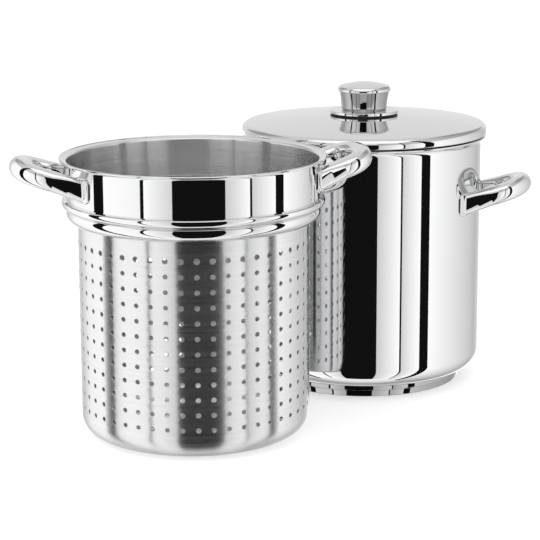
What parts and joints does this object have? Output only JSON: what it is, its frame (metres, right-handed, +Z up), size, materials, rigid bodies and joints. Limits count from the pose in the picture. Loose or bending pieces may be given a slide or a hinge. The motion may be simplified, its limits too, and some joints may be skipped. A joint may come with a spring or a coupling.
{
  "type": "pasta pot with strainer insert",
  "caption": "Tall steel pasta pot with a disc base, a lid with a turned knob and a perforated strainer insert with loop handles standing beside it.",
  "frame": {"origin": "centre of the pot's base, on the surface it stands on", "axes": "+Z up along the pot's axis; +X through the middle of the pot's right loop handle, -X through its left one; the insert stands towards -X and -Y"},
  "size_m": [0.41, 0.4433, 0.2814],
  "materials": {
    "polished_steel": "mirror polished",
    "satin_steel": "brushed satin",
    "aluminium_core": "enclosed",
    "black_gasket": "matt"
  },
  "bodies": {
    "pot": {"pot_shell": "polished_steel", "pot_base_core": "aluminium_core", "pot_base_cap": "polished_steel", "pot_handle_right": "polished_steel", "pot_handle_left": "polished_steel", "pot_foot_right_front": "polished_steel", "pot_foot_right_back": "polished_steel", "pot_foot_left_front": "polished_steel", "pot_foot_left_back": "polished_steel"},
    "lid": {"lid_shell": "polished_steel", "knob_gasket": "black_gasket", "knob_rosette": "polished_steel", "knob_body": "polished_steel", "knob_cap": "polished_steel", "knob_bush": "polished_steel", "knob_screw": "satin_steel", "knob_washer": "satin_steel"},
    "insert": {"insert_collar": "polished_steel", "insert_basket": "satin_steel", "insert_handle_right": "polished_steel", "insert_handle_left": "polished_steel", "insert_foot_right_front": "polished_steel", "insert_foot_right_back": "polished_steel", "insert_foot_left_front": "polished_steel", "insert_foot_left_back": "polished_steel"}
  },
  "joints": [
    {"name": "lid_lift", "type": "slide", "parent": "pot", "child": "lid", "axis": [0, 0, 1], "range_m": [0, 0.15]},
    {"name": "insert_lift", "type": "slide", "parent": "pot", "child": "insert", "axis": [0, 0, 1], "range_m": [0, 0.3]}
  ]
}
